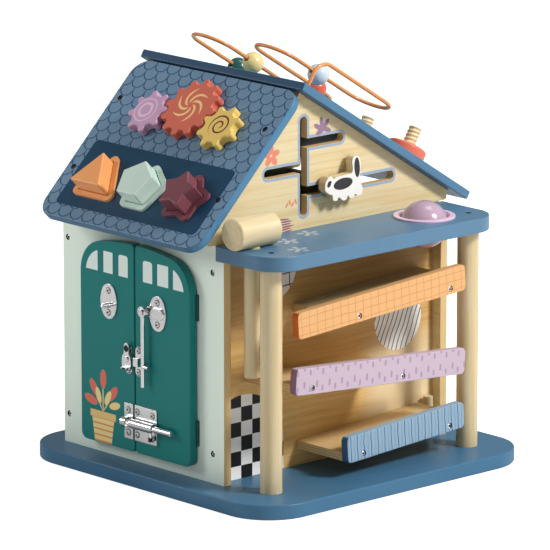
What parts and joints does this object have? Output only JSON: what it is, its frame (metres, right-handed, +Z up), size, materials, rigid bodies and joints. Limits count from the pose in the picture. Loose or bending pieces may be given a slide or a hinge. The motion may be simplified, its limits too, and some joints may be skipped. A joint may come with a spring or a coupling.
{
  "type": "activity house",
  "caption": "Wooden toddler activity house with latched arched doors, gears, shape sorter, bead maze, ball run, hammer and sliding cat",
  "frame": {"origin": "centre of the base board's underside", "axes": "+Z up, the doors face -Y, the ball run is on the +X side"},
  "size_m": [0.374, 0.3751, 0.43],
  "materials": {
    "steel_blue_paint": "painted plywood, satin",
    "mint_paint": "painted plywood, satin, printed",
    "teal_paint": "painted plywood, satin",
    "navy_print": "painted and printed plywood, satin",
    "natural_ply": "clear lacquer",
    "orange_paint": "painted, satin",
    "lilac_paint": "painted, satin",
    "light_blue_paint": "painted, satin",
    "coral_paint": "painted, satin",
    "yellow_paint": "painted, satin",
    "plum_paint": "painted, satin",
    "pale_mint_paint": "painted, satin",
    "cream_paint": "painted, satin",
    "white_paint": "painted, satin",
    "pale_grey_paint": "painted, satin",
    "orange_wire": "powder coat",
    "plated_steel": "bright plated",
    "screw_steel": "zinc plated"
  },
  "bodies": {
    "house": {"base_board": "steel_blue_paint", "front_wall": "mint_paint", "rear_wall": "mint_paint", "left_wall": "natural_ply", "right_wall": "natural_ply", "roof_front_panel": "navy_print", "roof_rear_panel": "steel_blue_paint", "house_screws": "screw_steel", "balcony_board": "steel_blue_paint", "balcony_posts": "natural_ply", "ball_ring": "lilac_paint", "top_plank": "natural_ply", "middle_plank": "natural_ply", "bottom_plank": "natural_ply", "top_fascia": "orange_paint", "middle_fascia": "lilac_paint", "bottom_fascia": "light_blue_paint", "ramp_stop_peg": "natural_ply", "gear_axles": "natural_ply", "triangle_frame": "orange_paint", "pentagon_frame": "pale_mint_paint", "star_frame": "plum_paint", "bead_wire": "orange_wire", "roof_pegs": "natural_ply", "hinge_wall_leaves": "screw_steel", "hinge_pins": "screw_steel"},
    "coral_gear_body": {"coral_gear": "coral_paint"},
    "lilac_gear_body": {"lilac_gear": "lilac_paint"},
    "yellow_gear_body": {"yellow_gear": "yellow_paint"},
    "triangle_block_body": {"triangle_block": "orange_paint"},
    "pentagon_block_body": {"pentagon_block": "pale_mint_paint"},
    "star_block_body": {"star_block": "plum_paint"},
    "left_door_body": {"left_door": "teal_paint", "left_door_screws": "screw_steel", "left_hinge_leaves": "screw_steel", "hook_eye_plate": "plated_steel", "turn_latch_plate": "plated_steel", "bolt_keeper": "plated_steel"},
    "right_door_body": {"right_door": "teal_paint", "right_door_screws": "screw_steel", "right_hinge_leaves": "screw_steel", "hook_plate": "plated_steel", "turn_latch_catch": "plated_steel", "bolt_plate": "plated_steel"},
    "hook_body": {"hook_bar": "plated_steel"},
    "turn_arm_body": {"turn_latch_arm": "plated_steel"},
    "bolt_body": {"bolt_rod": "plated_steel", "bolt_knob": "plated_steel"},
    "cat_pin_body": {"cat_pin": "natural_ply"},
    "cat_body": {"cat_figure": "white_paint"},
    "ball_body": {"ball": "lilac_paint"},
    "hammer_body": {"hammer_head": "cream_paint", "hammer_handle": "natural_ply"},
    "cream_bead_body": {"cream_bead": "cream_paint"},
    "grey_bead_body": {"grey_bead": "pale_grey_paint"},
    "coral_bead_body": {"coral_bead": "coral_paint"},
    "teal_bead_body": {"teal_bead": "teal_paint"},
    "coral_nut_body": {"coral_nut": "coral_paint"},
    "yellow_nut_body": {"yellow_nut": "yellow_paint"},
    "teal_nut_body": {"teal_nut": "teal_paint"}
  },
  "joints": [
    {"name": "left_door_swing", "type": "hinge", "parent": "house", "child": "left_door_body", "pos_m": [-0.1145, -0.15385, 0.12], "axis": [0, 0, -1], "range_deg": [0, 90]},
    {"name": "right_door_swing", "type": "hinge", "parent": "house", "child": "right_door_body", "pos_m": [0.0515, -0.15385, 0.12], "axis": [0, 0, 1], "range_deg": [0, 90]},
    {"name": "hook_swing", "type": "hinge", "parent": "right_door_body", "child": "hook_body", "pos_m": [-0.0128, -0.1694, 0.1775], "axis": [0, -1, 0], "range_deg": [0, 270]},
    {"name": "turn_latch_turn", "type": "hinge", "parent": "left_door_body", "child": "turn_arm_body", "pos_m": [-0.039, -0.1675, 0.1237], "axis": [0, 1, 0], "range_deg": [0, 90]},
    {"name": "bolt_slide", "type": "slide", "parent": "right_door_body", "child": "bolt_body", "axis": [-1, 0, 0], "range_m": [0, 0.025]},
    {"name": "coral_gear_spin", "type": "hinge", "parent": "house", "child": "coral_gear_body", "pos_m": [-0.02925, -0.08752, 0.36878], "axis": [0, -0.7071, 0.7071], "continuous": true},
    {"name": "lilac_gear_spin", "type": "hinge", "parent": "house", "child": "lilac_gear_body", "pos_m": [-0.08216, -0.09761, 0.35868], "axis": [0, -0.7071, 0.7071], "continuous": true},
    {"name": "yellow_gear_spin", "type": "hinge", "parent": "house", "child": "yellow_gear_body", "pos_m": [0.02366, -0.09761, 0.35868], "axis": [0, -0.7071, 0.7071], "continuous": true},
    {"name": "triangle_block_slide", "type": "slide", "parent": "house", "child": "triangle_block_body", "axis": [0, -0.7071, 0.7071], "range_m": [-0.045, 0.045]},
    {"name": "pentagon_block_slide", "type": "slide", "parent": "house", "child": "pentagon_block_body", "axis": [0, -0.7071, 0.7071], "range_m": [-0.045, 0.045]},
    {"name": "star_block_slide", "type": "slide", "parent": "house", "child": "star_block_body", "axis": [0, -0.7071, 0.7071], "range_m": [-0.045, 0.045]},
    {"name": "ball_push", "type": "slide", "parent": "house", "child": "ball_body", "axis": [0, 0, 1], "range_m": [-0.031, 0.03]},
    {"name": "hammer_lift", "type": "slide", "parent": "house", "child": "hammer_body", "axis": [0, 0, 1], "range_m": [0, 0.15]},
    {"name": "cat_slide", "type": "slide", "parent": "house", "child": "cat_pin_body", "axis": [0, 1, 0], "range_m": [-0.041, 0.045]},
    {"name": "cat_turn", "type": "hinge", "parent": "cat_pin_body", "child": "cat_body", "pos_m": [0.087, 0.006, 0.2943], "axis": [1, 0, 0], "continuous": true},
    {"name": "cream_bead_slide", "type": "slide", "parent": "house", "child": "cream_bead_body", "axis": [0, 0.848, -0.5299], "range_m": [-0.02, 0.047]},
    {"name": "grey_bead_slide", "type": "slide", "parent": "house", "child": "grey_bead_body", "axis": [0, 0.848, -0.5299], "range_m": [-0.022, 0.036]},
    {"name": "coral_bead_slide", "type": "slide", "parent": "house", "child": "coral_bead_body", "axis": [0, 0.848, -0.5299], "range_m": [-0.075, 0.001]},
    {"name": "teal_bead_slide", "type": "slide", "parent": "house", "child": "teal_bead_body", "axis": [0, 0.848, -0.5299], "range_m": [-0.05, 0.007]},
    {"name": "coral_nut_turn", "type": "hinge", "parent": "house", "child": "coral_nut_body", "pos_m": [0.0385, 0.14301, 0.30413], "axis": [0, 0.5299, 0.848], "continuous": true},
    {"name": "yellow_nut_turn", "type": "hinge", "parent": "house", "child": "yellow_nut_body", "pos_m": [-0.0315, 0.14089, 0.30073], "axis": [0, 0.5299, 0.848], "continuous": true},
    {"name": "teal_nut_turn", "type": "hinge", "parent": "house", "child": "teal_nut_body", "pos_m": [-0.1015, 0.14089, 0.30073], "axis": [0, 0.5299, 0.848], "continuous": true}
  ],
  "couplings": [
    {"joint": "lilac_gear_spin", "follows": "coral_gear_spin", "ratio": -1.5},
    {"joint": "yellow_gear_spin", "follows": "coral_gear_spin", "ratio": -1.5}
  ]
}
